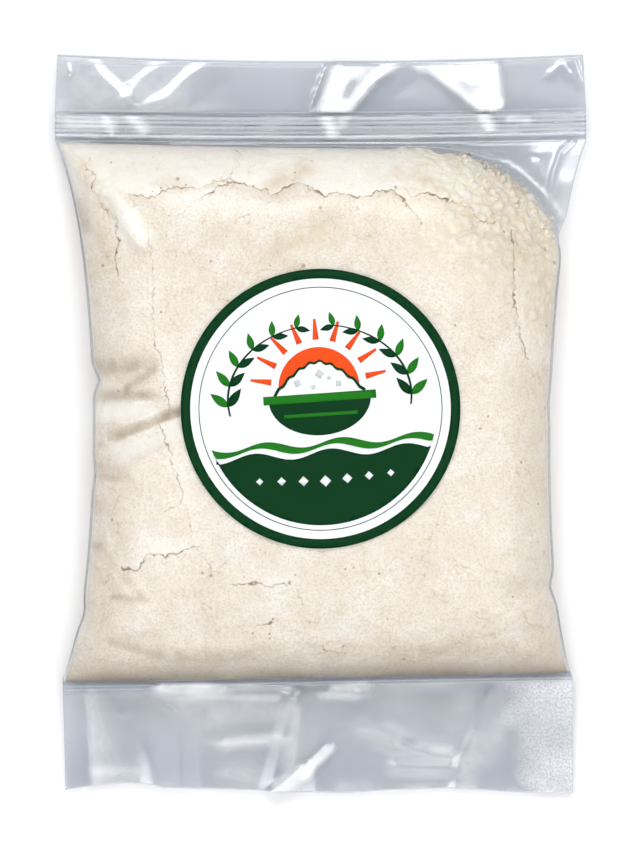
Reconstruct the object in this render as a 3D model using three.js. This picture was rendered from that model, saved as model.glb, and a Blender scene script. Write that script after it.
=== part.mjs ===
// A clear press-to-close pouch filled with pale salt powder, with a round sticker on its front, lying on its
// back. Millimetres: X runs across the pack, +Y towards the closing strip, +Z up. The origin is on the floor
// under the middle of the pack.
import * as THREE from "three";
import { mergeVertices } from "three/addons/utils/BufferGeometryUtils.js";

// Driving dimensions
const stripSpan = 152.4; // a six-inch pouch, edge to edge at its closing strip
const packLength = 212.4;
const crownHeight = 31; // top of the filled middle, above the floor
const filmPair = 0.8; // front and back film together, with the air between them
const stickerDiameter = 80;

// Where each part of the pouch begins, going up it
const bottomEdge = -packLength / 2;
const topEdge = packLength / 2;
const sealLine = -72.9; // heat seal under the powder
const fillTop = 81.4;
const stripLow = 82.6;
const stripHigh = 89.4;

// How the edges run: half widths, and the waist that the filled middle draws in
const leftHalf = { bottom: 73.3, seal: 74, strip: stripSpan / 2, top: 75.6 };
const rightHalf = { bottom: 72.4, seal: 72.3, strip: stripSpan / 2, top: 75.4 };
const leftWaist = 10;
const rightWaist = 8.4;
const finWidth = 0.7; // side seam, where the two films lie together
const sealTilt = 1.4; // the seal is higher at the right end by twice this
const stripTilt = 0.3;
const stripSag = 0.9; // the middle of the strip is drawn down by the filling
const topSag = 2;
const fillSlope = 1.2; // the filling's top line falls from left to right
const emptyCorner = { from: 0.35, drop: 21, power: 2.3 }; // top right, where the powder stops short
const intoCorner = (s) => clamp((s - emptyCorner.from) / (1 - emptyCorner.from));

// Heights of the seams, where front and back film meet
const sealHeight = 6;
const stripHeight = 5.5;
const sideLift = 7; // how much higher the side seams are halfway up
const bottomEdgeHeight = 1.8;
const topEdgeHeight = 3.4;
const leastClearance = 0.35; // between a free flap and the floor

// How squarely the filling ends at the sides, the seal and the top: a higher number stays level for longer
const frontShape = { side: 6, seal: 10, top: 7, power: 0.5 };
const backShape = { side: 3, seal: 3, top: 3, power: 1 };

// Closing strip
const stripThickness = 1;
const ribCount = 4;
const ribRise = 0.35;
const stripGap = 0.3;

// Sticker
const stickerCentre = { x: 0, y: 4.4 };
const stickerThickness = 0.5;
const stickerGap = 0.3;

// Tucks in the side seams: -1 is the left edge
const sideTucks = [
  { side: -1, y: 12.7, depth: 1.7, width: 3 },
  { side: -1, y: -14, depth: 0.5, width: 4 },
  { side: -1, y: -54, depth: 0.9, width: 4 },
  { side: 1, y: 54, depth: 1.6, width: 4 },
  { side: 1, y: 6, depth: 0.4, width: 5 },
  { side: 1, y: -46.4, depth: 1.3, width: 3.5 },
];

// Folds of the front film over the powder: from one point to another, a rise below 0 being a valley
const frontFolds = [
  { from: [-66, 12.5], to: [-47, 8.5], rise: -2.6, width: 3.6 },
  { from: [-61, 4.5], to: [-48, 3.5], rise: 1.2, width: 3 },
  { from: [-61, -6], to: [-47, -1], rise: -2.4, width: 3.2 },
  { from: [-67, -15], to: [-54, -15.5], rise: -1.1, width: 3.4 },
  { from: [-66, -36], to: [-50, -47], rise: -1.2, width: 4 },
  { from: [-64, -44], to: [-54, -54], rise: 0.9, width: 4.5 },
  { from: [-70, 74], to: [-50, 52], rise: 1.5, width: 3.6 },
  { from: [-66, 61], to: [-63, 52], rise: -1.5, width: 3.2 },
  { from: [-50, -63], to: [-22, -58], rise: -0.8, width: 3.4 },
  { from: [66, 54], to: [52, 57], rise: -1.6, width: 4 },
  { from: [70, 78], to: [63, 62], rise: 1.4, width: 3 },
  { from: [66, -46], to: [54, -50], rise: -1.2, width: 4 },
  { from: [40, -62], to: [62, -60], rise: -0.7, width: 3.4 },
];

// Folds of the free flaps, which move front and back film together
const flapFolds = [
  { from: [-69, 105], to: [-56, 94], rise: 0.9, width: 2.6 },
  { from: [-60, 89], to: [-42, 105], rise: 1.4, width: 2.8 },
  { from: [-51, 89], to: [-33, 104], rise: 1.3, width: 2.8 },
  { from: [1, 90], to: [4, 106], rise: 1.7, width: 3.4 },
  { from: [7, 88], to: [18, 104], rise: 1.1, width: 3 },
  { from: [49, 89], to: [32, 106], rise: 1.8, width: 4 },
  { from: [-54, -82], to: [-52, -108], rise: 2.1, width: 9 },
  { from: [-10, -78], to: [-14, -92], rise: 1, width: 6 },
  { from: [12, -108], to: [22, -88], rise: 1.6, width: 4 },
  { from: [38, -90], to: [39, -108], rise: 1.8, width: 8 },
  { from: [58, -80], to: [70, -104], rise: 1.1, width: 6 },
];

const clamp = (t) => Math.min(1, Math.max(0, t));
const mix = (a, b, t) => a + (b - a) * t;

// Straight-line value between the four places where the edges are measured.
function between(y, { bottom, seal, strip, top }) {
  if (y < sealLine) return mix(bottom, seal, clamp((y - bottomEdge) / (sealLine - bottomEdge)));
  if (y < stripHigh) return mix(seal, strip, clamp((y - sealLine) / (stripLow - sealLine)));
  return mix(strip, top, clamp((y - stripHigh) / (topEdge - stripHigh)));
}

// -1 at the seal, 1 at the top of the filling
const upTheFill = (y, low = sealLine, high = fillTop) => (2 * (y - low)) / (high - low) - 1;

// How far a side edge is drawn in, by the filling and by the tucks in its seam.
function drawnIn(y, side, waist) {
  const v = Math.abs(upTheFill(y));
  const belly = v < 1 ? 0.5 * (1 - v ** 6) + 0.5 * (1 - v * v) ** 1.5 : 0;
  const tucks = sideTucks
    .filter((tuck) => tuck.side === side)
    .reduce((sum, tuck) => sum + tuck.depth * Math.exp(-(((y - tuck.y) / tuck.width) ** 2)), 0);
  return waist * belly + tucks;
}
const leftEdge = (y) => drawnIn(y, -1, leftWaist) - between(y, leftHalf);
const rightEdge = (y) => between(y, rightHalf) - drawnIn(y, 1, rightWaist);

// -1 at the left edge, 1 at the right edge
function across(x, y) {
  const left = leftEdge(y);
  return (2 * (x - left)) / (rightEdge(y) - left) - 1;
}

// A line of the laid-flat pouch as it lies now: tilted and sagging.
function lineShift(y, s) {
  const tilt = between(y, { bottom: 0, seal: sealTilt, strip: stripTilt, top: 0 });
  const sag = between(y, { bottom: 0, seal: 0, strip: stripSag, top: topSag });
  return tilt * s - sag * (1 - s * s);
}

const sealAt = (s) => sealLine + lineShift(sealLine, s);
function fillTopAt(s, drop = emptyCorner.drop) {
  return fillTop + lineShift(stripLow, s) - fillSlope * (s + 1) - drop * intoCorner(s) ** emptyCorner.power;
}

// Sum of the folds at a point: each is a soft ridge or valley round a straight stretch.
function folded(x, y, folds) {
  let sum = 0;
  for (const { from, to, rise, width } of folds) {
    const dx = to[0] - from[0];
    const dy = to[1] - from[1];
    const t = clamp(((x - from[0]) * dx + (y - from[1]) * dy) / (dx * dx + dy * dy));
    const apart = Math.hypot(x - from[0] - t * dx, y - from[1] - t * dy);
    sum += rise * Math.exp(-((apart / width) ** 2));
  }
  return sum;
}

// Height of the middle between front and back film: seams, closing strip and free flaps.
function seamHeight(x, y) {
  const s = across(x, y);
  const v = upTheFill(y, sealAt(s), fillTop + lineShift(stripLow, s));
  let height;
  if (v < -1) {
    const out = clamp((sealAt(s) - y) / (sealLine - bottomEdge));
    height = mix(sealHeight, bottomEdgeHeight, 1 - (1 - out) ** 1.6);
  } else if (v > 1) {
    height = mix(stripHeight, topEdgeHeight, clamp((y - stripHigh) / (topEdge - stripHigh)));
  } else {
    height = mix(sealHeight, stripHeight, (v + 1) / 2) + sideLift * (1 - v * v) * s * s;
  }
  const free = clamp(Math.max(y - stripHigh - 1.2, sealAt(s) - y) / 5); // folds die out at strip and seal
  return Math.max(height + free * folded(x, y, flapFolds), filmPair / 2 + leastClearance);
}

// How full the pouch is at a point: 0 along every seam, 1 in the middle.
function fullness(x, y, shape) {
  const s = across(x, y);
  const halfWidth = (rightEdge(y) - leftEdge(y)) / 2;
  const u = Math.abs(s) / (1 - finWidth / halfWidth);
  const v = upTheFill(y, sealAt(s), fillTopAt(s));
  if (u >= 1 || Math.abs(v) >= 1) return 0;
  const loose = v > 0 ? intoCorner(s) : 0; // the front slopes down gently into the empty corner
  const end = v < 0 ? shape.seal : mix(shape.top, 3, loose);
  return (1 - u ** shape.side) ** shape.power * (1 - Math.abs(v) ** end) ** mix(shape.power, 1.1, loose);
}

// The closing strip lies in a shallow bed along the front of the flap.
function bedDepth(x, y) {
  const middle = (stripLow + stripHigh) / 2 + lineShift(stripLow, across(x, y));
  const wall = 0.6;
  const beyond = Math.abs(y - middle) - (stripHigh - stripLow) / 2 - stripGap;
  return (filmPair - 0.05) * clamp(1 - beyond / wall);
}

function frontHeight(x, y) {
  const seam = seamHeight(x, y);
  const full = fullness(x, y, frontShape);
  const folds = folded(x, y, frontFolds) * clamp(full / 0.45);
  return seam + filmPair / 2 + (crownHeight - seam) * full + folds - bedDepth(x, y);
}

// The back hangs down from the seams to the floor and lies flat on it in the middle.
function backHeight(x, y) {
  const rounding = 0.4;
  const pressed = Math.min(1, (fullness(x, y, backShape) / rounding) ** 0.6);
  return (seamHeight(x, y) - filmPair / 2) * (1 - Math.sin((pressed * Math.PI) / 2)) - bedDepth(x, y);
}

// Stations along one direction: spans of [from, to, cells], end to end.
function stations(spans) {
  const places = [spans[0][0]];
  for (const [from, to, cells] of spans) {
    for (let i = 1; i <= cells; i++) places.push(mix(from, to, i / cells));
  }
  return places;
}

const sideZone = [finWidth, 7, 24]; // finer columns next to each side edge
const halfSpan = stripSpan / 2;
const columns = stations([
  [-halfSpan, sideZone[0] - halfSpan, 1],
  [sideZone[0] - halfSpan, sideZone[1] - halfSpan, 4],
  [sideZone[1] - halfSpan, sideZone[2] - halfSpan, 6],
  [sideZone[2] - halfSpan, halfSpan - sideZone[2], 14],
  [halfSpan - sideZone[2], halfSpan - sideZone[1], 6],
  [halfSpan - sideZone[1], halfSpan - sideZone[0], 4],
  [halfSpan - sideZone[0], halfSpan, 1],
]).map((x) => x / halfSpan);

const endZone = [4, 14]; // finer rows next to the seal and under the strip
const bedWall = [stripGap, stripGap + 0.6];
const rows = stations([
  [bottomEdge, sealLine, 8],
  [sealLine, sealLine + endZone[0], 4],
  [sealLine + endZone[0], sealLine + endZone[1], 4],
  [sealLine + endZone[1], fillTop - endZone[1], 34],
  [fillTop - endZone[1], fillTop - endZone[0], 4],
  [fillTop - endZone[0], stripLow - bedWall[1], 4],
  [stripLow - bedWall[1], stripLow - bedWall[0], 1],
  [stripLow - bedWall[0], stripHigh + bedWall[0], 1],
  [stripHigh + bedWall[0], stripHigh + bedWall[1], 1],
  [stripHigh + bedWall[1], topEdge, 6],
]);

// Where column s of a row lies.
function placeOf(s, row) {
  const y = row + lineShift(row, s);
  const left = leftEdge(y);
  return [left + ((s + 1) / 2) * (rightEdge(y) - left), y];
}

// A closed solid from a geometry with its shared corners merged, each corner moved by place(x, y, z).
function shaped(geometry, place) {
  geometry.deleteAttribute("normal");
  geometry.deleteAttribute("uv");
  const merged = mergeVertices(geometry, 1e-4);
  const corners = merged.attributes.position;
  for (let i = 0; i < corners.count; i++) {
    corners.setXYZ(i, ...place(corners.getX(i), corners.getY(i), corners.getZ(i)));
  }
  merged.computeVertexNormals();
  return merged;
}

// The pouch with its filling: a flat box of cells, drawn into the pack's outline and blown out by the powder.
function pouchGeometry() {
  const cells = [columns.length - 1, rows.length - 1];
  return shaped(new THREE.BoxGeometry(2, 2, 2, ...cells, 1), (boxX, boxY, boxZ) => {
    const column = columns[Math.round(((boxX + 1) / 2) * cells[0])];
    const row = rows[Math.round(((boxY + 1) / 2) * cells[1])];
    const [x, y] = placeOf(column, row);
    return [x, y, boxZ > 0 ? frontHeight(x, y) : backHeight(x, y)];
  });
}

// The closing strip: a ribbed bar in its bed, end to end of the pouch.
function stripGeometry() {
  const profile = new THREE.Shape();
  const width = stripHigh - stripLow;
  const shoulder = width / (ribCount * 4);
  profile.moveTo(0, 0);
  profile.lineTo(width, 0);
  profile.lineTo(width, stripThickness);
  for (let rib = ribCount - 1; rib >= 0; rib--) {
    const middle = (width * (rib + 0.5)) / ribCount;
    profile.lineTo(middle + 1.5 * shoulder, stripThickness);
    profile.lineTo(middle + shoulder / 2, stripThickness + ribRise);
    profile.lineTo(middle - shoulder / 2, stripThickness + ribRise);
    profile.lineTo(middle - 1.5 * shoulder, stripThickness);
  }
  profile.lineTo(0, stripThickness);
  profile.closePath();
  const steps = columns.length - 1;
  const bar = new THREE.ExtrudeGeometry(profile, { depth: steps, steps, bevelEnabled: false });
  const floorOfBed = filmPair / 2 - (filmPair - 0.05) + stripGap;
  return shaped(bar, (up, rise, column) => {
    const s = columns[Math.round(column)];
    const [x, low] = placeOf(s, stripLow);
    const [, high] = placeOf(s, stripHigh);
    const y = mix(low, high, up / width);
    const edge = mix(seamHeight(x, low), seamHeight(x, high), up / width);
    return [x, y, edge + floorOfBed + rise];
  });
}

// The sticker: a thin disc that follows the front of the pouch.
function stickerGeometry() {
  const radius = stickerDiameter / 2;
  const rings = 7;
  const sides = 60;
  const profile = [];
  for (let i = 0; i <= rings; i++) profile.push(new THREE.Vector2((radius * i) / rings, 0));
  for (let i = rings; i >= 0; i--) profile.push(new THREE.Vector2((radius * i) / rings, stickerThickness));
  return shaped(new THREE.LatheGeometry(profile, sides), (right, rise, down) => {
    const x = stickerCentre.x + right;
    const y = stickerCentre.y - down;
    return [x, y, frontHeight(x, y) + stickerGap + rise];
  });
}

function named(name, geometry, color, roughness) {
  const mesh = new THREE.Mesh(geometry, new THREE.MeshStandardMaterial({ color, roughness, metalness: 0 }));
  mesh.name = name;
  return mesh;
}

const pack = new THREE.Group();
pack.add(
  named("filled_pouch", pouchGeometry(), 0xefe5d3, 0.35),
  named("closing_strip", stripGeometry(), 0xc6ccd5, 0.3),
  named("sticker", stickerGeometry(), 0xf2f5f7, 0.4),
);

export default pack;
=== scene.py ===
import math
import random
import bmesh
import bpy
import numpy as np
from mathutils import Matrix, Vector


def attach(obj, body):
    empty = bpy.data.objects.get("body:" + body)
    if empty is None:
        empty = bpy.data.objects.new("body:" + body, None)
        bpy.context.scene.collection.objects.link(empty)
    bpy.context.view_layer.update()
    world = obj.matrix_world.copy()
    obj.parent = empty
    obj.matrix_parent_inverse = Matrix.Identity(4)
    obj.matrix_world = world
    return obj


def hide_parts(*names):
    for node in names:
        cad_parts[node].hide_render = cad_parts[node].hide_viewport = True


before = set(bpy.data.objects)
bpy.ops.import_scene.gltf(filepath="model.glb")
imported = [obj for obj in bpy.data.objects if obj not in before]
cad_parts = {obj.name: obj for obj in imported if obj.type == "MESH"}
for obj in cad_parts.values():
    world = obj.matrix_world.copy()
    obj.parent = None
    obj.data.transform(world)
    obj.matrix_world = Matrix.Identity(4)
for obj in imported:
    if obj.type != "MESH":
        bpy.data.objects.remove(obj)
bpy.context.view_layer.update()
print("frame loaded")

scene = bpy.context.scene
mm = 0.001  # everything below is worked out in millimetres and placed in metres


def unit(value):  # kept from 0 to 1
    return np.clip(value, 0, 1)


def bell(offset, width):
    return np.exp(-((offset / width) ** 2))


# The form of the filled pouch, shared by film, powder, strip and sticker

pouch = {
    "topEdge": 106.2, "stripHigh": 89.4, "stripLow": 82.6, "fillTop": 81.4,
    "sealLine": -72.9, "bottomEdge": -106.2,
    "crownHeight": 31.0, "filmPair": 0.8, "finWidth": 0.7, "bedDepth": 0.75,
    "leftHalf": (73.3, 74.0, 76.2, 75.6), "rightHalf": (72.4, 72.3, 76.2, 75.4),  # bottom, seal, strip, top
    "leftWaist": 10.0, "rightWaist": 8.4,  # how far the filling draws the sides in
    "sealTilt": 1.4, "stripTilt": 0.3, "stripSag": 0.9, "topSag": 2.0,
    "fillSlope": 1.2, "cornerFrom": 0.35, "cornerPower": 2.3, "filmDrop": 21.0,
    "sealHeight": 6.0, "stripHeight": 5.5, "sideLift": 7.0, "bottomHeight": 1.8, "topHeight": 3.4,
}
frontShape = {"side": 6, "seal": 10, "top": 7, "power": 0.5}  # higher numbers stay level for longer
backShape = {"side": 3, "seal": 3, "top": 3, "power": 1.0}
sideTucks = [  # side, y, depth, width: where the side seams are pinched in
    (-1, 12.7, 1.7, 3.0), (-1, -14.0, 0.5, 4.0), (-1, -54.0, 0.9, 4.0),
    (1, 54.0, 1.6, 4.0), (1, 6.0, 0.4, 5.0), (1, -46.4, 1.3, 3.5),
]


def edgeRun(y, bottom, seal, strip, top):
    p = pouch
    places = [p["bottomEdge"], p["sealLine"], p["stripLow"], p["stripHigh"], p["topEdge"]]
    return np.interp(y, places, [bottom, seal, strip, strip, top])


def upTheFill(y, low=None, high=None):  # -1 at the seal, 1 at the top of the filling
    low = pouch["sealLine"] if low is None else low
    high = pouch["fillTop"] if high is None else high
    return 2 * (y - low) / (high - low) - 1


def drawnIn(y, side, waist):
    v = unit(np.abs(upTheFill(y)))
    belly = 0.5 * (1 - v**6) + 0.5 * (1 - v * v) ** 1.5
    tucks = sum(depth * bell(y - at, width) for which, at, depth, width in sideTucks if which == side)
    return waist * belly + tucks


def leftEdge(y):
    return drawnIn(y, -1, pouch["leftWaist"]) - edgeRun(y, *pouch["leftHalf"])


def rightEdge(y):
    return edgeRun(y, *pouch["rightHalf"]) - drawnIn(y, 1, pouch["rightWaist"])


def across(x, y):  # -1 at the left edge, 1 at the right edge
    left = leftEdge(y)
    return 2 * (x - left) / (rightEdge(y) - left) - 1


def lineShift(y, s):  # a straight line of the flat pouch, as it tilts and sags now
    tilt = edgeRun(y, 0, pouch["sealTilt"], pouch["stripTilt"], 0)
    sag = edgeRun(y, 0, 0, pouch["stripSag"], pouch["topSag"])
    return tilt * s - sag * (1 - s * s)


def sealAt(s):
    return pouch["sealLine"] + lineShift(pouch["sealLine"], s)


def intoCorner(s):  # 0 to 1, towards the empty top right corner
    return unit((s - pouch["cornerFrom"]) / (1 - pouch["cornerFrom"]))


def fillTopAt(s, drop):
    start = pouch["fillTop"] + lineShift(pouch["stripLow"], s)
    return start - pouch["fillSlope"] * (s + 1) - drop * intoCorner(s) ** pouch["cornerPower"]


def xOf(s, y):
    left = leftEdge(y)
    return left + (s + 1) / 2 * (rightEdge(y) - left)


def spotOf(s, row):  # where a place of the flat pouch lies now
    y = row + lineShift(row, s)
    return xOf(s, y), y


def uneven(x, y, size, seed, stretch=1.0):  # seeded, -1 to 1, drawn out along Y by stretch
    table = np.random.default_rng(seed).uniform(-1, 1, (128, 128))
    gx, gy = x / size + 50, y / (size * stretch) + 50
    ix, iy = np.floor(gx).astype(int), np.floor(gy).astype(int)
    fx, fy = gx - ix, gy - iy
    fx, fy = fx**3 * (fx * (6 * fx - 15) + 10), fy**3 * (fy * (6 * fy - 15) + 10)
    low = table[ix % 128, iy % 128] * (1 - fx) + table[(ix + 1) % 128, iy % 128] * fx
    high = table[ix % 128, (iy + 1) % 128] * (1 - fx) + table[(ix + 1) % 128, (iy + 1) % 128] * fx
    return low * (1 - fy) + high * fy


def creases(x, y, size, seed, stretch=1.0):  # sharp-crested noise, 0 to 1, as thin film crumples
    return 1 - np.abs(uneven(x, y, size, seed, stretch)) ** 0.8


def fromStretch(x, y, start, end):  # distance, and a number above 0 on its left
    (x0, y0), (x1, y1) = start, end
    dx, dy = x1 - x0, y1 - y0
    t = unit(((x - x0) * dx + (y - y0) * dy) / (dx * dx + dy * dy))
    return np.hypot(x - x0 - t * dx, y - y0 - t * dy), dx * (y - y0) - dy * (x - x0)


def folded(x, y, folds):  # round-topped folds, and soft spots of a mask
    crestRound = 0.25
    total = np.zeros_like(x)
    for x0, y0, x1, y1, rise, leftWidth, rightWidth, power in folds:
        apart, side = fromStretch(x, y, (x0, y0), (x1, y1))
        apart = np.sqrt(apart**2 + crestRound**2) - crestRound
        total += rise * np.exp(-((apart / np.where(side > 0, leftWidth, rightWidth)) ** power))
    return total


def tented(x, y, tents):  # flat-sided folds along runs of places
    total = np.zeros_like(x)
    for places, rise, leftWidth, rightWidth in tents:
        most = np.zeros_like(x)
        for start, end in zip(places, places[1:]):
            apart, side = fromStretch(x, y, start, end)
            most = np.maximum(most, 1 - apart / np.where(side > 0, leftWidth, rightWidth))
        total += rise * most
    return total


def besideLine(x, y, line, other):  # distance from a line, above 0 on the other line's side
    (x0, y0), (x1, y1) = line
    dx, dy = x1 - x0, y1 - y0
    middleX, middleY = (other[0][0] + other[1][0]) / 2, (other[0][1] + other[1][1]) / 2
    way = dx * (middleY - y0) - dy * (middleX - x0)
    return (dx * (y - y0) - dy * (x - x0)) / math.hypot(dx, dy) * math.copysign(1, way)


def panelled(x, y, panels):  # flat faces: up from one line to a crest, then steeply down
    total = np.zeros_like(x)
    for start, crest, slope, fall in panels:
        beyond = -besideLine(x, y, crest, start)
        rise = slope * np.clip(besideLine(x, y, start, crest), 0, 14)
        total += rise * unit(1 - beyond / fall)
    return total


# each panel: foot line, crest line, slope, and how far the fall behind the crest reaches
headerPanels = [
    (((14.5, 103), (6, 88.8)), ((3.6, 102.5), (-1, 90.8)), 0.34, 1.2),
    (((29.1, 104.3), (47.5, 88.2)), ((51.2, 102), (51.8, 90.8)), -0.06, 1),
]
skirtPanels = [
    (((-67.3, -76), (-65, -103)), ((-67.3, -76), (-53.8, -103)), 0.07, 7),
    (((-2.5, -93), (-1.5, -105)), ((-3.4, -97.4), (-12.8, -105)), 0.26, 0.9),
]
headerTents = [  # each: places, rise, and width on the left and on the right of that way
    ([(-73.4, 105.6), (-72.3, 101)], 0.35, 1.4, 3),
    ([(-65.6, 104.4), (-63.3, 100.8), (-56.1, 94.2)], 0.34, 1.9, 8),
    ([(-59.8, 89.6), (-55.5, 94.5), (-49.5, 101.1), (-43.2, 104.3), (-37, 104.8)], 0.22, 1.7, 9),
    ([(-53.2, 88.2), (-43.2, 94.5), (-37.5, 100.2), (-31.5, 104.4)], 0.45, 2.6, 7),
    ([(22.6, 104.2), (14.8, 98), (6.7, 88.6)], 0.4, 7, 2.3),
    ([(65.9, 100.8), (69.3, 103.7)], 0.16, 0.9, 2.5), ([(69.3, 103.7), (71.6, 100.5)], 0.16, 0.9, 2.5),
    ([(72.5, 106), (73.9, 101.7), (75.3, 98.2)], 0.25, 1, 3),
]
skirtTents = [
    ([(-45, -76.2), (-26, -76), (-9, -76.8)], 0.6, 1.6, 3), ([(-40.6, -77.5), (-40, -105)], 0.95, 6, 9),
    ([(-29.7, -91.4), (-10, -90.6)], 0.2, 5, 0.9), ([(-6.7, -75), (-13.9, -105)], 0.8, 10, 4),
    ([(0.5, -76), (10, -76.6)], 0.5, 1.4, 2.6), ([(11.6, -88.3), (37.5, -97)], -0.3, 5, 5),
    ([(20, -87.6), (28.3, -93.5)], -0.2, 3, 3),
    ([(46.6, -78.5), (44.6, -88), (40.3, -97), (39, -106)], 0.5, 5.8, 2.4),
    ([(22, -99), (38, -99.5)], 0.5, 4, 4),
]

# each fold: start, end, rise, width on its left and on its right, and how sharp (1) or soft (2) it is
headerFolds = [
    (-69, 104, -68.6, 91, 0.1, 0.9, 1.2, 1.3), (41, 98.8, 43.4, 97.3, 0.25, 1, 1, 1.8),
]
cornerTents = [  # the empty top right corner, under the strip
    ([(72.5, 81.3), (69, 78.1), (66.7, 71.8), (65.9, 65.8)], 0.5, 1.2, 1.8),
    ([(61.6, 75.6), (63.3, 69.8)], 0.3, 0.8, 1.2), ([(52.7, 74.7), (57.5, 71)], 0.3, 1, 1),
]
fillFolds = [  # over the powder, which follows them
    (-65, -11.4, -60.5, -12.6, -0.6, 1.2, 2, 1.3), (-66, -15, -54.5, -16.6, -0.9, 1.4, 1.8, 1.2),
    (-67, -19, -62.5, -25, -1, 1.8, 1.8, 1.6), (-64, -34, -50.5, -47, -1, 3, 2.2, 1.4),
    (-62, -40, -52, -50.5, 0.7, 3, 2, 1.6), (-60, -49, -50, -49.6, -0.5, 1.6, 1.6, 1.4),
    (-70.5, 64, -67, 55, -1.4, 2.2, 2.6, 1.5), (-60, -61.5, -46, -65.5, -0.8, 2, 2.4, 1.4),
    (-47, -60, -22, -58, -0.5, 3, 3, 1.8), (-12, 50, 3, 57, -0.5, 4, 3, 1.8),
    (-14, 68, -2, 73, -0.8, 4, 4, 1.8), (66, 54, 52, 57, -1.4, 3, 3, 1.6),
    (66, 12, 56, 10, -0.5, 2.4, 2.4, 1.5), (66, -46, 55, -49, -1.2, 3, 3, 1.5),
    (40, -62, 60, -59.5, -0.6, 2.6, 2.6, 1.6),
]
fillTents = [
    ([(-68, 14), (-58, 13.4), (-50, 15.4)], -2.2, 5, 2.6), ([(-55.5, 10.2), (-47.3, 15.8)], -0.9, 1.6, 1.6),
    ([(-63, 6.6), (-56, 6.2), (-47.5, 6.8)], -2, 2.8, 5.6),
    ([(-59, -5), (-50.5, -2), (-46.5, 0), (-39.5, 2.8)], -2.4, 2.9, 6.4),
    ([(-74, 76.5), (-66, 70), (-60.4, 64.4), (-51.5, 51)], 1.5, 5, 2.4),
]
litFilm = [  # where the film stands off the powder and shines
    (-57, -7.6, -40.5, -1.4, 0.8, 2.6, 2.8, 2), (-62, 3.5, -49, 3.7, 0.8, 2.7, 2.7, 2),
    (-61.5, 66.5, -51.4, 53, 0.7, 2.4, 1.6, 2), (-35.6, 77.4, -33.8, 73.4, 0.8, 0.9, 0.9, 2),
]
paintedSheens = [  # painted highlights: soft white sheen painted on folded film, given as the folds are
    (-64, 98, -44, 96, 0.34, 9, 9, 1.6), (5.5, 100.2, 3.2, 91, 0.85, 2.4, 3.4, 4),
    (6.5, 100.6, 14, 101.4, 0.75, 1.8, 2.6, 3), (21.5, 103.6, 15.5, 100.2, 0.8, 1.2, 1.4, 3),
    (13.5, 98.4, 6.2, 89.6, 0.9, 1.7, 1.7, 3), (9.6, 98.4, 7.6, 94.6, -0.45, 1.1, 1.1, 2),
    (12.2, 99.4, 13, 97.4, -0.35, 1.1, 1.1, 2), (29, 103.9, 47.5, 104.2, 0.8, 1.2, 2.2, 3),
    (33, 101.8, 46.5, 91.2, 0.9, 3, 1.4, 3), (49, 102, 49.8, 92.4, 0.85, 2.4, 2.4, 4),
    (43.5, 99.6, 46.5, 95.6, 0.7, 2.4, 2.4, 3), (38.4, 102.9, 43.6, 101.6, -0.4, 0.7, 0.7, 2),
    (44.4, 97, 47.6, 98, -0.3, 0.8, 0.8, 2), (45.6, 92.8, 49.4, 91.7, -0.5, 0.6, 0.6, 2),
    (-66.9, -78, -65.4, -104, 0.2, 4, 0.6, 1.6), (-65.8, -92, -65.4, -104, 0.18, 11, 0.5, 1.6),
    (-64, -101, -52, -102.8, 0.3, 2.4, 2.2, 2), (-45.5, -75.2, -29, -75.4, 0.95, 0.6, 2.6, 1.5),
    (-28, -75.2, -9, -75.8, 0.3, 0.6, 1, 2), (-36, -80, -31, -84, 0.28, 7, 7, 1.8),
    (-20, -80, -14, -81, 0.2, 5, 5, 1.8), (-27, -91.4, -12.5, -90, 0.36, 1.2, 2.2, 1.6),
    (-27, -100.6, -20, -102, 0.25, 3.4, 3.4, 1.8), (-12.4, -104.8, -5.4, -100.4, 0.9, 1.4, 2.6, 3),
    (-5, -100, 1.8, -93, 0.85, 0.7, 1.8, 3), (-7, -82, -8.4, -98, 0.24, 1.4, 4, 1.8),
    (3.8, -75.8, 12.6, -74.8, 0.7, 0.8, 2.2, 1.5), (22, -79, 42, -80.5, 0.1, 5.2, 5.2, 1.8),
    (12, -88.6, 22, -90.6, 0.26, 2.2, 3.4, 1.5), (28, -93, 37, -94.4, 0.3, 1.4, 3, 1.6),
    (22, -99.6, 33, -100.6, 0.14, 3.6, 3.6, 1.8), (43.4, -91, 41.4, -104, 0.22, 3.4, 3, 1.8),
    (52, -86, 48, -97, 0.2, 2.6, 2.6, 1.8), (6, -104.4, 13, -104, 0.2, 1.6, 1.6, 2),
]
paintedFilmShade = [  # and painted shade, where the film is tinted greyer as its folds would mirror darker surroundings
    (-6.4, -76, -13.2, -104, 0.3, 1.6, 3.6, 2), (46.4, -79, 39.4, -104, 0.22, 1, 1.6, 2),
    (24.5, -90.4, 30.5, -94.2, 0.35, 0.5, 0.8, 2), (-60, -77, -50, -92, 0.1, 5, 5, 2),
    (10, -81, 16, -84, 0.12, 5, 5, 2),
]
skirtFolds = [
    (-57, -83, -56.6, -83.4, 0.2, 0.5, 0.5, 1.4),
]


def seamHeight(x, y):  # where front and back film meet, and the middle of the free flaps
    p = pouch
    s = across(x, y)
    seal, strip = sealAt(s), p["stripLow"] + lineShift(p["stripLow"], s)
    v = np.clip(upTheFill(y, seal, p["fillTop"] + lineShift(p["stripLow"], s)), -1, 1)
    inside = p["sealHeight"] + (p["stripHeight"] - p["sealHeight"]) * (v + 1) / 2
    inside = inside + p["sideLift"] * (1 - v * v) * s * s
    out = unit((seal - y) / (p["sealLine"] - p["bottomEdge"]))
    skirt = p["sealHeight"] + (p["bottomHeight"] - p["sealHeight"]) * (1 - (1 - out) ** 1.6)
    up = unit((y - p["stripHigh"]) / (p["topEdge"] - p["stripHigh"]))
    header = p["stripHeight"] + (p["topHeight"] - p["stripHeight"]) * up
    return np.where(y < seal, skirt, np.where(y > strip, header, inside))


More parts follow.
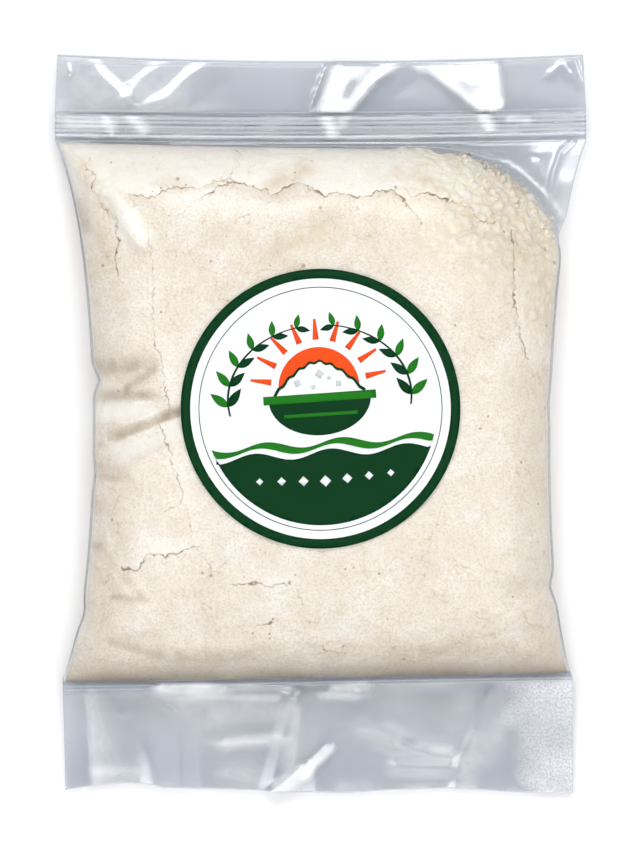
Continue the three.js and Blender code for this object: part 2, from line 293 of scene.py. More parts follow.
def fullness(x, y, shape, drop):  # 0 along every seam, 1 in the middle
    s = across(x, y)
    halfWidth = (rightEdge(y) - leftEdge(y)) / 2
    u = unit(np.abs(s) / (1 - pouch["finWidth"] / halfWidth))
    v = np.clip(upTheFill(y, sealAt(s), fillTopAt(s, drop)), -1, 1)
    loose = np.where(v > 0, intoCorner(s), 0)
    end = np.where(v < 0, shape["seal"], shape["top"] + (3 - shape["top"]) * loose)
    power = shape["power"] + (1.1 - shape["power"]) * loose
    return (1 - u ** shape["side"]) ** shape["power"] * (1 - np.abs(v) ** end) ** power


def flapWeight(x, y):  # 1 on the free header and skirt, 0 elsewhere
    s = across(x, y)
    above = unit((y - pouch["stripHigh"] - lineShift(pouch["stripHigh"], s) - 0.6) / 4)
    return np.maximum(above, unit((sealAt(s) - 0.8 - y) / 4))


def bedDepth(x, y):  # the closing strip lies in a shallow bed
    middle = (pouch["stripLow"] + pouch["stripHigh"]) / 2 + lineShift(pouch["stripLow"], across(x, y))
    beyond = np.abs(y - middle) - (pouch["stripHigh"] - pouch["stripLow"]) / 2 - 0.3
    return pouch["bedDepth"] * unit(1 - beyond / 0.6)


def sealBead(x, y):  # the welded line under the powder
    return 0.45 * bell(y - sealAt(across(x, y)) + 0.9, 0.45)


def puckers(x, y):  # small gathers that run out from the seams
    s = across(x, y)
    v = upTheFill(y, sealAt(s), fillTopAt(s, pouch["filmDrop"]))
    sides = unit((np.abs(s) - 0.8) / 0.2) * np.clip(1.02 - np.abs(s), 0, 0.03) / 0.03
    ends = unit((-v - 0.86) / 0.1) * np.clip(1.02 + v, 0, 0.03) / 0.03
    inside = np.abs(v) < 1
    along = creases(x, y, 2.6, 11, 0.9) - 0.6
    up = creases(x, y, 3.2, 12, 3.0) - 0.6
    return np.where(inside, 0.35 * sides * along + 0.4 * ends * up, 0)


def flapFolds(x, y):  # of the header and the skirt
    header = folded(x, y, headerFolds) + panelled(x, y, headerPanels) + tented(x, y, headerTents)
    skirt = folded(x, y, skirtFolds) + panelled(x, y, skirtPanels) + tented(x, y, skirtTents)
    return np.where(y > 0, header, skirt)


def smoothFront(x, y):  # the front film without its folds
    seam = seamHeight(x, y)
    full = fullness(x, y, frontShape, pouch["filmDrop"])
    return seam + pouch["filmPair"] / 2 + (pouch["crownHeight"] - seam) * full


def filmFront(x, y):
    full = fullness(x, y, frontShape, pouch["filmDrop"])
    free = flapWeight(x, y)
    s = across(x, y)
    corner = unit((s - 0.3) / 0.3) * unit((y - 52) / 14) * (1 - free)
    folds = (folded(x, y, fillFolds) + tented(x, y, fillTents)) * unit(full / 0.4)
    folds += tented(x, y, cornerTents) * unit((84 - y) / 2)
    folds += free * flapFolds(x, y)
    crumple = free * np.where(y > 0, 0.1, 0.3) * uneven(x, y, 11, 1, 1.6)
    crushed = 0.2 * creases(x, y, 7, 3, 1.8) + 0.05 * creases(x, y, 2.4, 4, 1.5)
    crumple += corner * unit((82 - y) / 4) * crushed
    lift = smoothFront(x, y) + folds + crumple + puckers(x, y)
    return np.maximum(lift + sealBead(x, y) - bedDepth(x, y), 0.9)


def filmBack(x, y):
    pressed = unit(fullness(x, y, backShape, pouch["filmDrop"]) / 0.4) ** 0.6
    free = flapWeight(x, y)
    folds = free * 0.8 * flapFolds(x, y)
    wavy = uneven(x, y, 11, 5, 1.5)
    folds += free * np.where(y > 0, 0.1 * wavy, 0.3 * wavy - 0.25)
    seam = seamHeight(x, y) - pouch["filmPair"] / 2 + folds - bedDepth(x, y)
    sag = seam * (1 - np.sin(pressed * math.pi / 2))
    return np.maximum(sag + 0.05 * (1 - pressed), 0.12)


print("form worked out")


# Helpers for meshes and materials

def spaced(*spans):  # end-to-end spans of (start, end, cells)
    places = [spans[0][0]]
    for start, end, cells in spans:
        places += list(start + (end - start) * np.arange(1, cells + 1) / cells)
    return np.array(places)


def newGrid(cellsAcross, cellsUp, size=1):
    bm = bmesh.new()
    bmesh.ops.create_grid(bm, x_segments=cellsAcross, y_segments=cellsUp, size=size)
    return bm


def placesOf(bm):  # x, y and z of all vertices
    return np.array([v.co[:] for v in bm.verts]).T


def gridPlaces(bm, columns, rows):  # column and row value of each vertex of a grid made with size 1
    placed = zip((columns, rows), placesOf(bm))
    return [values[np.rint((co + 1) / 2 * (len(values) - 1)).astype(int)] for values, co in placed]


def doubled(bm):  # closes a sheet into a thin solid, and says which vertices are on its upper side
    lower = set(bm.verts)
    bmesh.ops.reverse_faces(bm, faces=bm.faces)
    bmesh.ops.extrude_face_region(bm, geom=bm.faces[:], use_keep_orig=True)
    return np.array([v not in lower for v in bm.verts])


def setPlaces(verts, x, y, z):
    for v, a, b, c in zip(verts, x, y, z):
        v.co = (a * mm, b * mm, c * mm)


def pieceFrom(bm, name, *materials):
    mesh = bpy.data.meshes.new(name)
    bm.to_mesh(mesh)
    bm.free()
    piece = bpy.data.objects.new(name, mesh)
    scene.collection.objects.link(piece)
    for material in materials:
        mesh.materials.append(material)
    for face in mesh.polygons:
        face.use_smooth = True
    return piece


def newMaterial(name):
    material = bpy.data.materials.new(name)
    material.use_nodes = True
    material.node_tree.nodes.clear()
    return material, material.node_tree


def node(tree, kind, links=(), **values):
    made = tree.nodes.new(kind)
    for key, value in values.items():
        setattr(made, key, value)
    for socket, source in dict(links).items():
        if isinstance(source, bpy.types.NodeSocket):
            tree.links.new(source, made.inputs[socket])
        else:
            made.inputs[socket].default_value = source
    return made


def linear(level):  # one channel, from 0 to 255 as seen
    return level / 255 / 12.92 if level < 10.3 else ((level / 255 + 0.055) / 1.055) ** 2.4


def srgb(red, green, blue):  # the colour as a shader takes it
    return (linear(red), linear(green), linear(blue), 1)


def ramp(tree, factor, *stops):
    made = node(tree, "ShaderNodeValToRGB", {"Fac": factor})
    made.color_ramp.elements[0].position, made.color_ramp.elements[0].color = stops[0]
    made.color_ramp.elements[1].position, made.color_ramp.elements[1].color = stops[-1]
    for position, colour in stops[1:-1]:
        made.color_ramp.elements.new(position).color = colour
    return made.outputs["Color"]


def grey(value):
    return (value, value, value, 1)


def fade(tree, factor, start, end, low=0, high=1):  # from one grey at start to another at end
    return ramp(tree, factor, (start, grey(low)), (end, grey(high)))


def mixColour(tree, factor, first, second):
    return node(tree, "ShaderNodeMix", {0: factor, 6: first, 7: second}, data_type="RGBA").outputs[2]


def calc(tree, operation, *sources):
    return node(tree, "ShaderNodeMath", dict(enumerate(sources)), operation=operation).outputs[0]


def times(tree, first, second):
    return calc(tree, "MULTIPLY", first, second)


def plus(tree, first, second):
    return calc(tree, "ADD", first, second)


def objectSpot(tree):
    return node(tree, "ShaderNodeTexCoord").outputs["Object"]


def noise(tree, spot, scale, detail, roughness=0.5, output="Fac"):
    links = {"Vector": spot, "Scale": scale, "Detail": detail, "Roughness": roughness}
    return node(tree, "ShaderNodeTexNoise", links).outputs[output]


def mask(tree, name):  # what addMask wrote
    return node(tree, "ShaderNodeAttribute", attribute_name=name).outputs["Fac"]


def addMask(piece, name, values):
    layer = piece.data.attributes.new(name, "FLOAT", "POINT")
    layer.data.foreach_set("value", unit(values).astype(np.float32))


def mirroring(tree, straight, slanting):  # a clear surface mirrors more at a flat angle
    facing = node(tree, "ShaderNodeLayerWeight", {"Blend": 0.5}).outputs["Facing"]
    return plus(tree, times(tree, calc(tree, "POWER", facing, 5.0), slanting), straight)


def clearPlastic(tree, tint, milk, haze, mirrored, roughness):
    clear = node(tree, "ShaderNodeBsdfTransparent", {"Color": tint}).outputs[0]
    milky = node(tree, "ShaderNodeBsdfDiffuse", {"Color": milk}).outputs[0]
    body = node(tree, "ShaderNodeMixShader", {"Fac": haze, 1: clear, 2: milky}).outputs[0]
    gloss = node(tree, "ShaderNodeBsdfGlossy", {"Color": grey(1), "Roughness": roughness}).outputs[0]
    surface = node(tree, "ShaderNodeMixShader", {"Fac": mirrored, 1: body, 2: gloss})
    node(tree, "ShaderNodeOutputMaterial", {"Surface": surface.outputs[0]})


def solidSurface(tree, colour, roughness, shine, bump=()):  # bump: height, strength, distance
    links = {"Base Color": colour, "Roughness": roughness, "Specular IOR Level": shine}
    if bump:
        bumped = dict(zip(("Height", "Strength", "Distance"), bump))
        links["Normal"] = node(tree, "ShaderNodeBump", bumped).outputs[0]
    surface = node(tree, "ShaderNodeBsdfPrincipled", links)
    node(tree, "ShaderNodeOutputMaterial", {"Surface": surface.outputs[0]})


# Clear film

film = {
    "thickness": 0.12,
    "clear": (0.985, 0.987, 0.99, 1),  # what each face of the film lets through over the powder
    "flap": (0.79, 0.812, 0.846, 1),  # and where it is greyest, on the lip; half of that on the free flaps
    "haze": 0.02, "flapHaze": 0.05, "frostHaze": 0.85, "hemHighlight": 0.55, "skirtRoughness": 0.2,
    "hem": [  # how far the bottom edge is drawn up: x, rise
        (-73.3, 1.1), (-64, 2.4), (-56, 3.2), (-50, 3), (-45, 1.7), (-26, 1.3), (5.6, 0.2), (22, 1.1),
        (38, 1.6), (55, 0.5), (72.5, 0.1),
    ],
    "lipDrop": 1.5,  # how far the front ends below the back at the top
    "milk": (0.92, 0.945, 0.98, 1), "mirror": (0.058, 0.8),
    "roughness": 0.15, "clingingRoughness": 0.3, "clinging": 0.3,  # over the powder it shines less
    "edgeShade": 0.38, "lipShade": 0.62,
}


def filmMaterial(name, frosted):
    material, tree = newMaterial(name)
    flap = mask(tree, "flap")
    tint = mixColour(tree, flap, film["clear"], film["flap"])
    haze = plus(tree, times(tree, flap, film["flapHaze"]), film["haze"])
    # painted highlights: white milk where the folded film would mirror the lamps
    haze = plus(tree, haze, mask(tree, "painted_sheen"))
    if frosted:
        specks = fade(tree, noise(tree, objectSpot(tree), 1700.0, 3.0), 0.36, 0.66, 0.45, 1)
        haze = plus(tree, haze, times(tree, specks, times(tree, mask(tree, "frost"), film["frostHaze"])))
        haze = plus(tree, haze, times(tree, mask(tree, "hem"), film["hemHighlight"]))
    loose, clinging = mask(tree, "loose"), film["clinging"]
    shining = plus(tree, times(tree, loose, 1 - clinging), clinging)
    mirrored = times(tree, mirroring(tree, *film["mirror"]), shining)
    smoother = times(tree, loose, film["clingingRoughness"] - film["roughness"])
    roughness = film["skirtRoughness"]
    if not frosted:
        roughness = calc(tree, "SUBTRACT", film["clingingRoughness"], smoother)
    clearPlastic(tree, tint, film["milk"], haze, mirrored, roughness)
    return material


clearFilm = filmMaterial("clear_film", False)
frostedFilm = filmMaterial("frosted_film", True)  # of the skirt


def makeFilm(name, height, columns, rows, lipDrop):
    bm = newGrid(len(columns) - 1, len(rows) - 1)
    s, row = gridPlaces(bm, columns, rows)
    upHeader = unit((row - pouch["stripHigh"] - 1) / (pouch["topEdge"] - pouch["stripHigh"] - 1))
    hem = unit((-76 - row) / 30) ** 2
    raised = np.interp(s * 73, *zip(*film["hem"])) * hem
    row = row - lipDrop * upHeader * (1 + 0.35 * uneven(s * 76, s * 0, 30, 21))
    x, y = spotOf(s, row)
    setPlaces(bm.verts, x, y + raised, height(x, y))
    piece = pieceFrom(bm, name, clearFilm, frostedFilm)
    for face in piece.data.polygons:
        seal = sealAt(across(face.center.x / mm, face.center.y / mm)) * mm
        face.material_index = int(face.center.y < seal)
    v = upTheFill(y, sealAt(s), fillTopAt(s, powder["drop"]))
    halfWidth = (rightEdge(y) - leftEdge(y)) / 2
    u = np.abs(s) / (1 - pouch["finWidth"] / halfWidth)
    outside = unit(np.maximum((np.abs(v) - 0.99) / 0.02, (u - 0.99) / 0.02))
    # painted shade: a darker band along the top edge of the back film, a dark line under the seal, and a
    # darker strip below it on the left
    topEdgeStrip = unit((row - 104.6) / 0.6) if lipDrop == 0 else 0
    underSealShade = (0.95 + 0.3 * uneven(x, y, 14, 24)) * bell(y - sealAt(s) + 0.2, 0.7)
    underSealShade += 0.35 * unit((-42 - x) / 8) * bell(y - sealAt(s) + 2.4, 0.7)
    shade = film["edgeShade"] * outside + film["lipShade"] * topEdgeStrip + underSealShade
    addMask(piece, "flap", shade + (folded(x, y, paintedFilmShade) if lipDrop else 0))
    standing = unit(np.maximum(folded(x, y, fillFolds) / 0.9, folded(x, y, litFilm)))
    crease = bell(y - fillTopAt(s, pouch["filmDrop"]), 2) * unit(3 * intoCorner(s))
    addMask(piece, "loose", np.maximum(outside * (1 - 0.8 * crease), 0.7 * standing))
    streaked = 0.9 + 0.12 * uneven(x, y, 2.2, 25) + 0.3 * uneven(x, y, 7, 26, 0.7)
    free = unit(np.maximum(y - pouch["stripHigh"], sealAt(s) - y) / 0.6)
    addMask(piece, "painted_sheen", np.clip(folded(x, y, paintedSheens), 0, 0.95) * streaked * free if lipDrop else x * 0)
    # painted highlight: a white line along the bottom edge of the film
    addMask(piece, "hem", (row < -105.85) * 1.0)
    ragged = 3.5 * uneven(x, y, 6, 22)
    frosted = unit((x - 49 + ragged + 0.25 * (y + 76)) / 11) * unit((-73 - y) / 1.5)
    thickest = folded(x, y, [(64, -74, 71, -73.5, 0.6, 3, 3, 2), (53, -103, 60, -104.5, 0.6, 3, 3, 2)])
    addMask(piece, "frost", frosted * (0.76 + 0.25 * uneven(x, y, 9, 23) + 0.7 * thickest))
    shell = piece.modifiers.new("film", "SOLIDIFY")
    shell.thickness, shell.offset = film["thickness"] * mm, -1
    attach(piece, "root")
    return piece


powder = {
    "drop": 26.5,  # how far its own surface falls in the top right corner
    "gap": 0.3, "bedGap": 0.3,  # under the front film, and over the back film
    "cells": (90, 110),  # the front side is cut twice as fine, and finer still next to the cracks
    "relief": 0.36, "cornerRelief": 1.2,
    "crackDepth": 0.5, "crackWidth": 0.18, "nearCrack": 1.3, "crackStep": 0.35, "stepReach": 3.5,
}

filmColumns = spaced(
    (-1, -0.975, 4), (-0.975, -0.9, 14), (-0.9, -0.66, 20), (-0.66, 0.66, 132),
    (0.66, 0.9, 20), (0.9, 0.975, 14), (0.975, 1, 4),
)
filmRows = spaced(
    (-106.2, -105.8, 1), (-105.8, -76, 40), (-76, -73.4, 5), (-73.4, -68, 14), (-68, 76, 92),
    (76, 81.7, 14), (81.7, 82.3, 2), (82.3, 89.7, 3), (89.7, 90.3, 2), (90.3, 106.2, 32),
)
frontFilm = makeFilm("front_film", filmFront, filmColumns, filmRows, film["lipDrop"])
backColumns = spaced((-1, -0.66, 20), (-0.66, 0.66, 60), (0.66, 1, 20))
backRows = spaced(
    (-106.2, -105.8, 1), (-105.8, -76, 28), (-76, -70.5, 8), (-70.5, 81.7, 80),
    (81.7, 82.3, 1), (82.3, 89.7, 3), (89.7, 90.3, 1), (90.3, 106.2, 20),
)
makeFilm("back_film", lambda x, y: filmBack(x, y) + film["thickness"], backColumns, backRows, 0)
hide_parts("filled_pouch")
print("film made")


# Powder

crackLines = [  # each is a strength and a run of places in the powder's front
    (0.7, [(-54.7, 65.8), (-52, 64.5), (-47, 64.7), (-42, 67.5), (-37, 67.2), (-34.6, 67.2),
           (-31, 68.5), (-26, 69.6), (-23, 69)]),
    (1, [(-34, 64), (-29.8, 67.2), (-24, 69), (-20, 67.6), (-15.5, 66.4), (-14, 64.6), (-10.8, 66.4),
           (-7, 69), (-2, 66.5), (1, 64.5)]),
    (0.9, [(1, 64.5), (4, 65.9), (6.5, 65.4), (9, 64.4), (13, 64.2), (16, 66), (20.5, 66.6), (24.3, 63),
           (26, 60.5), (28.6, 58)]),
    (0.9, [(26.3, 64.4), (30, 65.8), (35, 64), (40, 63), (43, 60.8), (45.8, 57.5), (50, 57)]),
    (0.6, [(0.2, -63), (2, -64.6), (4.8, -64.9), (7, -62.6)]),
    (0.3, [(0.5, -62.4), (3, -61.6), (5.5, -61.4)]),
    (0.7, [(54.7, 55.8), (55.2, 46), (55, 35.7), (55.8, 28.5), (58.7, 18.5)]),
    (0.75, [(-58.2, 58.6), (-57.4, 52), (-58.4, 47), (-58, 42.8)]),
    (0.45, [(-49, 55.3), (-47.5, 45.7), (-47, 40), (-47.8, 33.4), (-47.1, 25.6)]),
    (0.75, [(-47.1, 25.6), (-46.6, 21.9), (-44.6, 17), (-44.1, 12.2), (-42.7, 3.6)]),
    (0.6, [(-46, -0.2), (-42.6, -6.5), (-41.5, -13), (-39.2, -20.3), (-40, -23.2), (-44.6, -24.6)]),
    (0.3, [(-34.6, 63.9), (-36.6, 62), (-39.4, 60), (-43.2, 56.3), (-44.1, 52.4)]),
    (0.22, [(-40.9, 55.3), (-41.2, 47.7), (-42.3, 40.9), (-40.8, 33.4), (-39.4, 28.5)]),
    (0.3, [(-14.8, 64.9), (-14.5, 60.1)]), (0.3, [(-47, 61), (-52, 62.6), (-54.6, 60.4)]),
    (0.5, [(-37.5, -25.2), (-36.6, -30), (-36, -34.6)]),
    (0.9, [(-56.4, -41.2), (-51.8, -41.5), (-48.4, -36.6), (-43.8, -37.5), (-38, -35.6), (-34.9, -34.4)]),
    (0.6, [(-34.6, -35.5), (-33, -38), (-31.1, -41), (-27.7, -42.1)]),
    (0.9, [(-25.1, -45.2), (-21, -45), (-16.8, -44.7), (-14.4, -46), (-13, -45.5), (-11, -45),
           (-7.9, -45.5)]), (0.5, [(-7, -47), (-5.9, -49), (-5, -51.3)]),
    (0.8, [(-18.5, -56.8), (-15.9, -57), (-13.3, -55.5)]), (0.45, [(17, -41), (20, -41.6), (22.8, -40.4)]),
    (0.4, [(37.2, -39.8), (42, -40.7)]), (0.7, [(-67, 74), (-64.5, 70.5), (-65.2, 67)]),
    (0.6, [(-63, 62.6), (-60.4, 61), (-59.6, 57.5)]), (0.3, [(-20, 60), (-24, 58), (-25.5, 54)]),
    (0.3, [(10, 62), (9, 58)]),
]
hollowShades = [  # painted shade: soft tan patches in hollows of the powder, given as the folds are
    (-13, 50, 2, 55, 0.9, 3, 4, 1.8), (-14, 67, -5, 73, 0.8, 3, 3.5, 1.8), (18, 72, 28, 70, 0.35, 4, 4, 2),
    (-47, 69, -38, 67, 0.5, 2, 1.5, 1.8), (-62, 56, -58, 44, 0.45, 2, 2.5, 1.8),
    (30, 69.5, 33, 68, 0.5, 2, 2, 2), (-61, 14, -51, 12, 0.4, 2.5, 2.5, 1.8),
    (-58, -50, -52, -51, 0.5, 2.5, 2.5, 1.8), (57, 50, 62, 38, 0.4, 4, 4, 1.8),
]
powderLumps = [  # crumbly patches
    (62, 42, 61, 28, 0.9, 6, 4, 2), (66, 20, 64, -30, 0.4, 4, 3, 2), (-68, 74, -60, 60, 0.7, 2.5, 2.5, 2),
]
powderShades = [  # where folds of the film leave the powder in shadow
    (-58.5, -4.4, -40, 2.8, 0.55, 2.6, 0.6, 2.2), (-46, 0.9, -40, 2.8, 0.45, 1.7, 0.5, 2),
    (-61, 8.4, -49, 8.4, 0.55, 1.8, 1.5, 2), (-66.7, 17.2, -53.2, 16.2, 0.5, 2.4, 2.2, 2),
    (-55.2, 10.4, -47.5, 15.6, 0.45, 1.1, 1.1, 1.6), (-65.5, -14.6, -58, -15.8, 0.45, 1.4, 0.7, 1.8),
    (-65, -11.4, -61, -12.6, 0.35, 1, 0.7, 1.8), (-66, -19, -63.5, -24, 0.35, 1.2, 1.2, 2),
    (-67, -34.4, -62.6, -34.4, 0.4, 0.8, 0.8, 2), (-63.3, -35.4, -51.5, -47.6, 0.3, 1.2, 1.2, 2),
    (-59, -49.1, -50.7, -49.7, 0.5, 0.7, 0.7, 2), (-70, 63, -67.5, 56, 0.5, 1.5, 1.5, 2),
    (-59.6, -62, -46, -66, 0.4, 1.4, 1, 2), (-40, -66.5, -20, -65.5, 0.25, 1.6, 1.6, 2),
    (30, -64, 55, -63, 0.25, 1.6, 1.6, 2),
]
powderLit = [  # and where they catch the light
    (-56.5, -7.4, -40.5, -1.2, 1, 2.6, 2.8, 3), (-62, 3.6, -49, 3.6, 1, 2.4, 2.4, 3),
    (-63, 68, -51, 52, 0.8, 3, 2, 2), (-64, 12.6, -57, 10.8, 0.5, 1.6, 1.6, 2),
    (-50, -32, -44, -34, 0.4, 2, 2, 2),
]


def crackAt(x, y):  # how deep the cracks are (0 to 1), how near the next is, and the step on its upper side
    wobbleX = 0.5 * uneven(x, y, 1.7, 31) + 0.4 * uneven(x, y, 0.8, 32)
    wobbleY = 0.5 * uneven(x, y, 1.7, 33) + 0.4 * uneven(x, y, 0.8, 34)
    deepest = np.zeros_like(x)
    nearest = np.full_like(x, 99.0)
    step = np.zeros_like(x)
    for strength, line in crackLines:
        for start, end in zip(line, line[1:]):
            apart, side = fromStretch(x + wobbleX, y + wobbleY, start, end)
            fall = strength * np.exp(-apart / powder["stepReach"])
            step = np.where(apart < nearest, np.sign(side) * fall, step)
            nearest = np.minimum(nearest, apart)
            deepest = np.maximum(deepest, strength * bell(apart, powder["crackWidth"]))
    gaps = np.clip(0.8 + 0.6 * uneven(x, y, 3.1, 35), 0.4, 1)  # a crack opens and closes along its way
    return deepest * gaps, nearest, step


def powderTop(x, y):
    s = across(x, y)
    corner = unit((s - 0.25) / 0.3) * unit((y - 40) / 18)
    plates = np.tanh(2.5 * uneven(x, y, 7, 48)) + 0.6 * np.tanh(3 * uneven(x, y, 3.6, 41))
    relief = powder["relief"] * (0.7 * plates + 0.4 * uneven(x, y, 1.7, 42) - 0.6)
    lumps = 0.6 * uneven(x, y, 4.6, 43) + 0.5 * creases(x, y, 3.0, 44) - 1.0
    lumps = powder["cornerRelief"] * (lumps + 0.4 * uneven(x, y, 1.5, 45))
    seam = seamHeight(x, y)
    own = seam + (pouch["crownHeight"] - seam) * fullness(x, y, frontShape, powder["drop"])
    own = own + corner * lumps + (1 - corner) * 2
    pressed = filmFront(x, y) - powder["gap"] - film["thickness"] + np.minimum(relief, 0.1)
    return np.minimum(own, pressed)


def powderBed(x, y):
    return filmBack(x, y) + powder["bedGap"]


def makePowder():
    bm = newGrid(*powder["cells"])
    isTop = doubled(bm)
    a, b, _ = placesOf(bm)
    a = 0.45 * a + 0.55 * np.sin(a * math.pi / 2)  # closer columns and rows next to the steep sides
    b = 0.55 * b + 0.45 * np.sin(b * math.pi / 2)
    s = a * (1 - 1.6 / 68)
    for _ in range(3):  # the top line depends on the column and the side edges on the height
        low, high = sealAt(s) + 0.35, fillTopAt(s, powder["drop"]) - 0.2
        y = low + (high - low) * (b + 1) / 2
        s = a * (1 - (pouch["finWidth"] + 0.15) / ((rightEdge(y) - leftEdge(y)) / 2))
    raggedTop = unit((b - 0.9) / 0.1) * unit((s - 0.1) / 0.3)
    y = y + raggedTop * (1.4 * uneven(s * 70, y * 0, 3.4, 46) + 1.1 * uneven(s * 70, y * 0, 1.6, 47))
    x = xOf(s, y)
    under = powderBed(x, y)
    z = np.where(isTop, np.maximum(powderTop(x, y), under), under)
    setPlaces(bm.verts, x, y, z)
    for reach, cuts in ((999, 1), (powder["nearCrack"], 2)):
        x, y, z = placesOf(bm) / mm
        wanted = (z > filmBack(x, y) + 0.5) & (crackAt(x, y)[1] < reach)
        bm.verts.index_update()
        edges = [e for e in bm.edges if wanted[e.verts[0].index] and wanted[e.verts[1].index]]
        bmesh.ops.subdivide_edges(bm, edges=edges, cuts=cuts, use_grid_fill=True)
    x, y, z = placesOf(bm) / mm
    depth, _, step = crackAt(x, y)
    under = powderBed(x, y)
    opened = z > under + 0.5
    cracked = powderTop(x, y) + powder["crackStep"] * np.minimum(step, 0) - powder["crackDepth"] * depth
    z = np.where(opened, np.maximum(cracked, under), z)
    setPlaces(bm.verts, x, y, z)
    bmesh.ops.recalc_face_normals(bm, faces=bm.faces)
    piece = pieceFrom(bm, "salt_powder", powderMaterial())
    addMask(piece, "crack", depth * opened)
    lumpy = unit((across(x, y) - 0.25) / 0.3) * unit((y - 30) / 26)
    addMask(piece, "crumbly", np.maximum(lumpy, folded(x, y, powderLumps)))
    # painted light: lighter towards the top, on the higher side of each crack, and on fold walls that catch
    # the light
    addMask(piece, "painted_light", 0.7 * unit((y - 60) / 8) + 0.5 * step + folded(x, y, powderLit))
    lowEnd = (1.2 + 0.25 * uneven(x, y, 12, 50)) * np.exp(-np.clip(y - sealAt(across(x, y)), 0, 99) / 3.4)
    addMask(piece, "shaded", folded(x, y, powderShades) * (0.85 + 0.3 * uneven(x, y, 2.2, 49)) + lowEnd)
    addMask(piece, "hollow_shade", folded(x, y, hollowShades))
    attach(piece, "root")
    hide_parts("filled_pouch")
    return piece


# tan_and_shade is both the tan of the fine grain and the painted shade in gaps and hollows
powderLook = {
    "pale": srgb(245, 239, 229), "deep": srgb(232, 222, 205), "warm": srgb(253, 243, 220),
    "painted_light": srgb(255, 251, 242), "tan_and_shade": srgb(216, 197, 168), "hairline": srgb(178, 148, 106),
    "crack": srgb(148, 120, 84), "shade": srgb(158, 138, 108), "speck": srgb(160, 138, 108),
}


def powderMaterial():
    material, tree = newMaterial("salt_powder")
    look, spot = powderLook, objectSpot(tree)
    patches = noise(tree, spot, 75.0, 4.0, 0.66)
    lumps = noise(tree, spot, 300.0, 3.0, 0.6)
    grain = noise(tree, spot, 1500.0, 1.0, 0.7)
    swirl = noise(tree, spot, 130.0, 3.0, 0.65, "Color")
    strayed = {0: swirl, 1: (0.013, 0.013, 0.0), 2: spot}
    strayed = node(tree, "ShaderNodeVectorMath", strayed, operation="MULTIPLY_ADD").outputs[0]
    flat = node(tree, "ShaderNodeVectorMath", {0: strayed, 1: (1, 1, 0)}, operation="MULTIPLY").outputs[0]
    cells = {"Vector": flat, "Scale": 78.0}  # plates that go straight down
    plates = node(tree, "ShaderNodeTexVoronoi", cells)
    edges = node(tree, "ShaderNodeTexVoronoi", cells, feature="DISTANCE_TO_EDGE").outputs["Distance"]
    plateTone = node(tree, "ShaderNodeSeparateColor", {"Color": plates.outputs["Color"]}).outputs[0]

    crumbly = mask(tree, "crumbly")
    clods = node(tree, "ShaderNodeTexVoronoi", {"Vector": spot, "Scale": 360.0}).outputs["Distance"]
    # painted shade: darker borders between the clods of the crumbly patches, also sunk into the bump
    gapped = times(tree, crumbly, fade(tree, clods, 0.3, 0.66, 0, 0.8))
    broken = fade(tree, patches, 0.5, 0.58, 0, 0.5)  # hairlines show only here and there
    holes = node(tree, "ShaderNodeTexVoronoi", {"Vector": spot, "Scale": 420.0})
    size = node(tree, "ShaderNodeSeparateColor", {"Color": holes.outputs["Color"]}).outputs[0]
    fewLarge = calc(tree, "POWER", size, 7.0)
    size = times(tree, fewLarge, fade(tree, patches, 0.42, 0.62, 0.12, 0.3))
    pinhole = calc(tree, "LESS_THAN", holes.outputs["Distance"], size)

    coats = [  # each is how far a colour covers what lies under it
        (fade(tree, patches, 0.36, 0.64), "deep"),
        (times(tree, plateTone, 0.35), "deep"),
        (fade(tree, lumps, 0.5, 0.7, 0, 0.6), "deep"),
        (fade(tree, grain, 0.46, 0.64, 0, 0.55), "tan_and_shade"),
        (times(tree, mask(tree, "painted_light"), 0.85), "painted_light"),
        (times(tree, crumbly, fade(tree, lumps, 0.4, 0.6, 0.1, 0.9)), "warm"),
        (times(tree, gapped, fade(tree, patches, 0.4, 0.6, 0.25, 0.75)), "tan_and_shade"),
        (times(tree, mask(tree, "hollow_shade"), fade(tree, lumps, 0.35, 0.65, 0.3, 0.9)), "tan_and_shade"),
        # painted shade: thin dark lines along the plate edges, shade in fine cracks
        (times(tree, fade(tree, edges, 0.002, 0.009, 1, 0), broken), "hairline"),
        (times(tree, pinhole, 0.7), "speck"),
        # painted shade: the cracks are cut into the powder and also coloured dark brown where shade falls
        # into them
        (fade(tree, mask(tree, "crack"), 0.08, 0.6, 0, 0.9), "crack"),
        (times(tree, mask(tree, "shaded"), 0.85), "shade"),
    ]
    colour = look["pale"]
    for cover, name in coats:
        colour = mixColour(tree, cover, colour, look[name])

    height = plus(tree, times(tree, lumps, 0.6), times(tree, grain, 0.18))
    height = calc(tree, "SUBTRACT", height, times(tree, gapped, 0.42))
    solidSurface(tree, colour, 0.92, 0.15, (height, 0.8, 0.0015))
    return material


saltPowder = makePowder()
print("powder made", len(saltPowder.data.polygons))

crumbs = {"count": 300, "smallest": 0.3, "largest": 1.3, "seed": 7}


